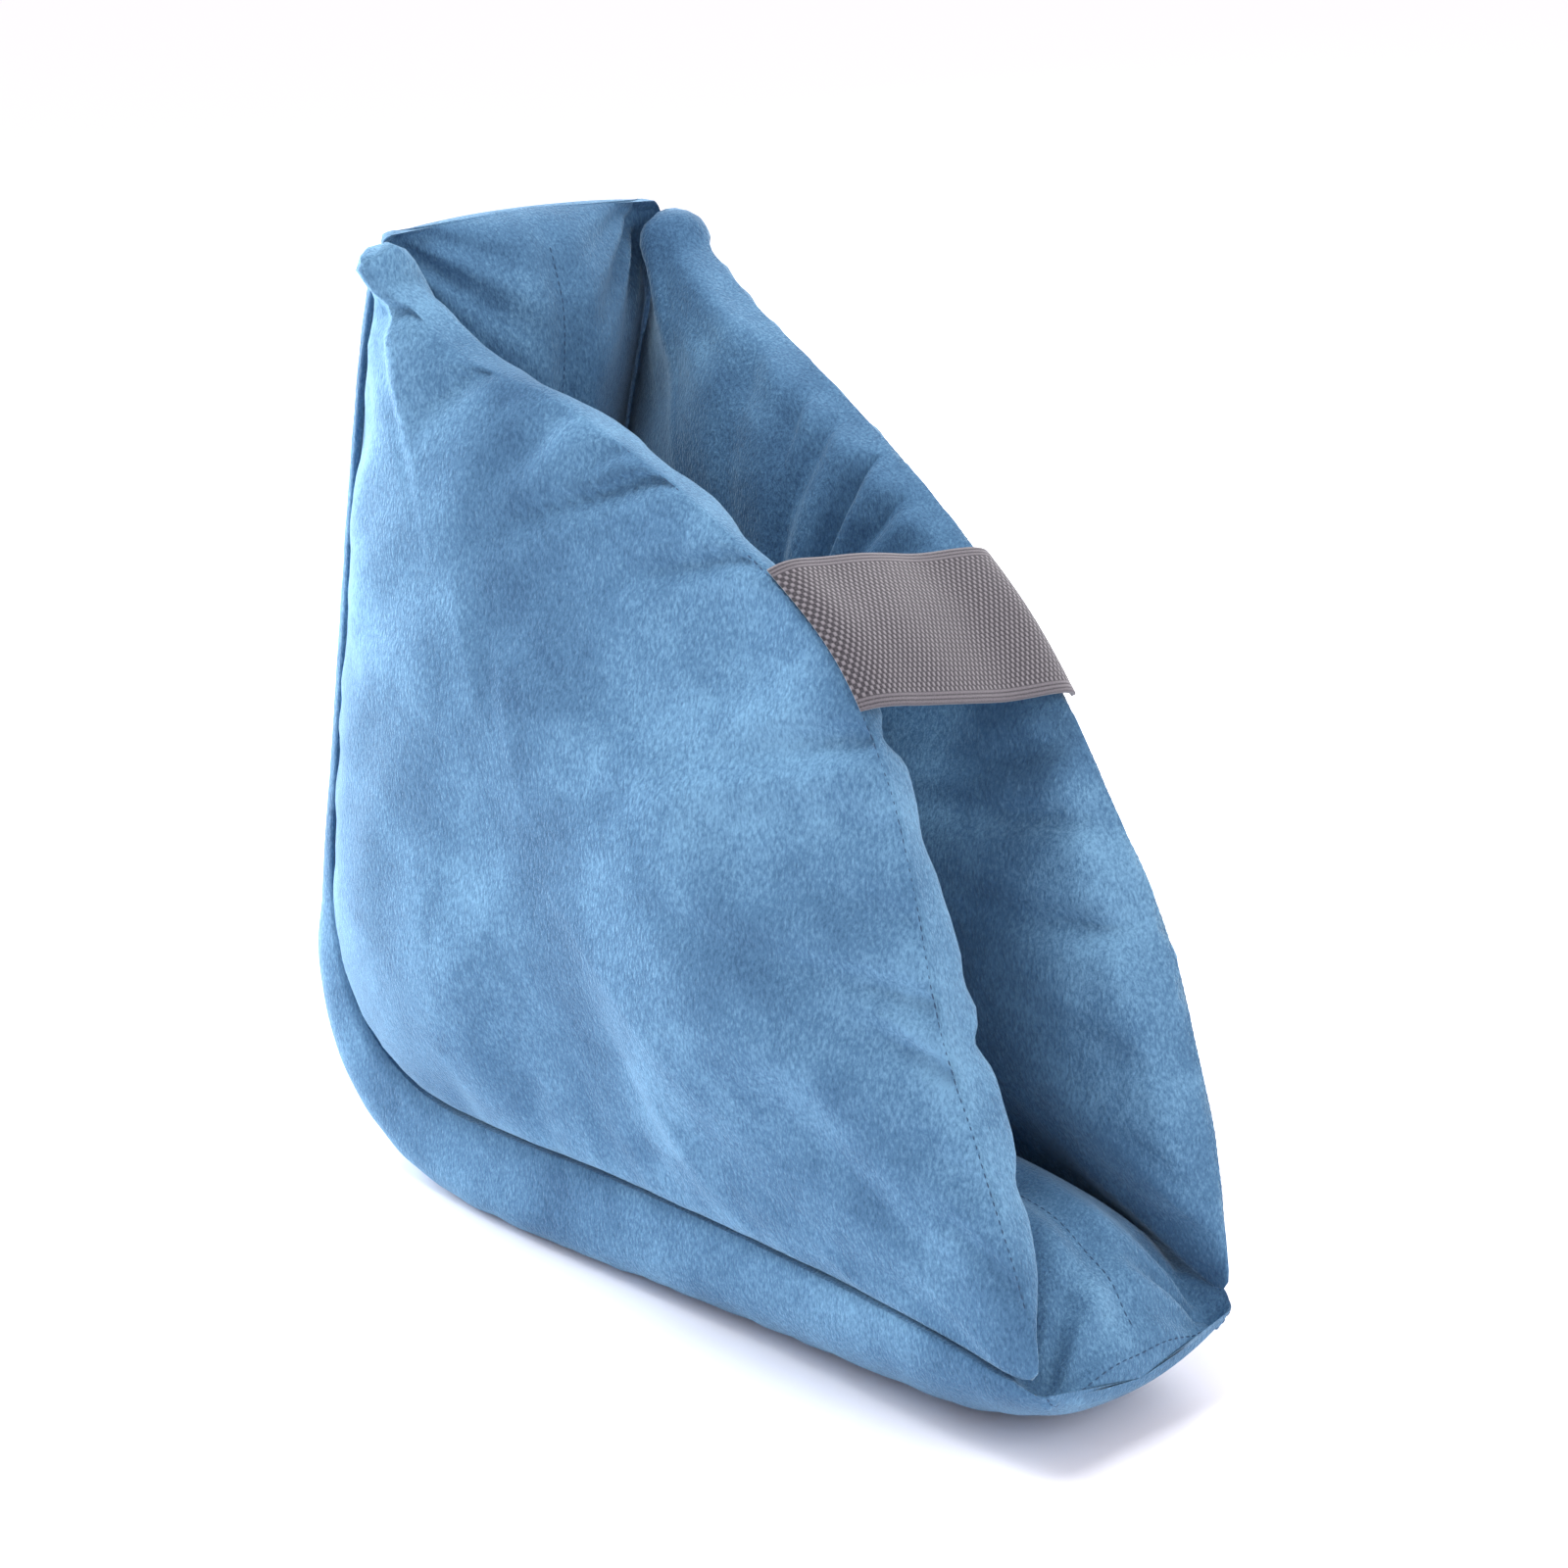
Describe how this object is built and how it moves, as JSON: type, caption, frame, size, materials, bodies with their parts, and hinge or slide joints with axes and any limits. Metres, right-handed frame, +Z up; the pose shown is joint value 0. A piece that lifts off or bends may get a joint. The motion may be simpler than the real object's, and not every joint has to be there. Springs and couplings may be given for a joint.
{
  "type": "heel protector cushion",
  "caption": "Boot-shaped heel protector cushion: blue plush side cushions on a long sole and back cushion, joined by a grey elastic strap.",
  "frame": {"origin": "on the surface it stands on, under the middle of the sole", "axes": "+Z up, -Y towards the toes, +Y towards the heel and the calf, +X to the side of the right cushion"},
  "size_m": [0.1473, 0.3412, 0.3235],
  "materials": {
    "blue_plush": "matt short-pile plush, polyester filled",
    "grey_elastic": "matt woven elastic webbing"
  },
  "bodies": {
    "root": {"left_side_cushion": "blue_plush", "right_side_cushion": "blue_plush", "sole_and_back_cushion": "blue_plush", "elastic_strap": "grey_elastic"}
  },
  "joints": []
}
